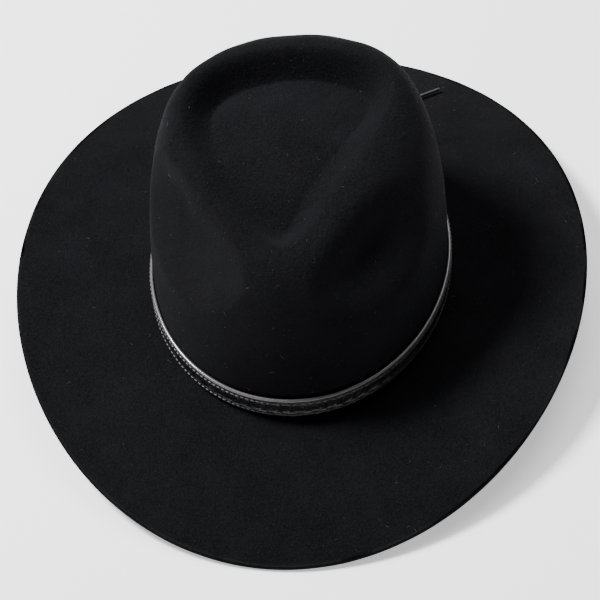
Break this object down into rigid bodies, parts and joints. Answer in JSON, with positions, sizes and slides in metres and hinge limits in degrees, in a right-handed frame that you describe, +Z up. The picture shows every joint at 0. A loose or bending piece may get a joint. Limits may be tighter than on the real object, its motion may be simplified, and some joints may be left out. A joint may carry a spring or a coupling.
{
  "type": "cowboy hat",
  "caption": "Felt cowboy hat with a teardrop-creased crown, curled raw-edge brim, sweatband, satin lining and a laced leather hat band.",
  "frame": {"origin": "middle of the hat's footprint on the surface it stands on", "axes": "+Z up out of the crown, front of the hat towards -Y, wearer's left towards +X"},
  "size_m": [0.342, 0.382, 0.1448],
  "materials": {
    "felt": "black blocked felt, short nap",
    "sweatband_leather": "smooth dark brown",
    "reed_plastic": "plain extruded rod",
    "tape_cloth": "woven black tape",
    "sewing_thread": "twisted thread",
    "tag_paper": "blank card",
    "bow_ribbon": "ribbed black ribbon",
    "lining_satin": "dark grey satin",
    "piping_cord": "satin-covered cord",
    "clear_film": "clear film",
    "band_leather": "black, embossed, polished edges",
    "band_thread": "dark waxed thread",
    "lace_leather": "round black lace"
  },
  "bodies": {
    "root": {"felt_body": "felt", "sweatband": "sweatband_leather", "sweatband_reed": "reed_plastic", "sweatband_reed_tape": "tape_cloth", "sweatband_stitching": "sewing_thread", "sweatband_back_tape": "tape_cloth", "size_tag": "tag_paper", "sweatband_bow": "bow_ribbon", "lining_side": "lining_satin", "lining_tip": "lining_satin", "lining_piping": "piping_cord", "tip_shield": "clear_film"},
    "hat_band": {"hat_band_strap": "band_leather", "hat_band_lower_stitching": "band_thread", "hat_band_upper_stitching": "band_thread", "band_lace": "lace_leather", "lace_knot": "lace_leather", "lace_tail_left": "lace_leather", "lace_tail_right": "lace_leather"}
  },
  "joints": [
    {"name": "band_lift", "type": "slide", "parent": "root", "child": "hat_band", "axis": [0, 0, 1], "range_m": [0, 0.125]}
  ]
}
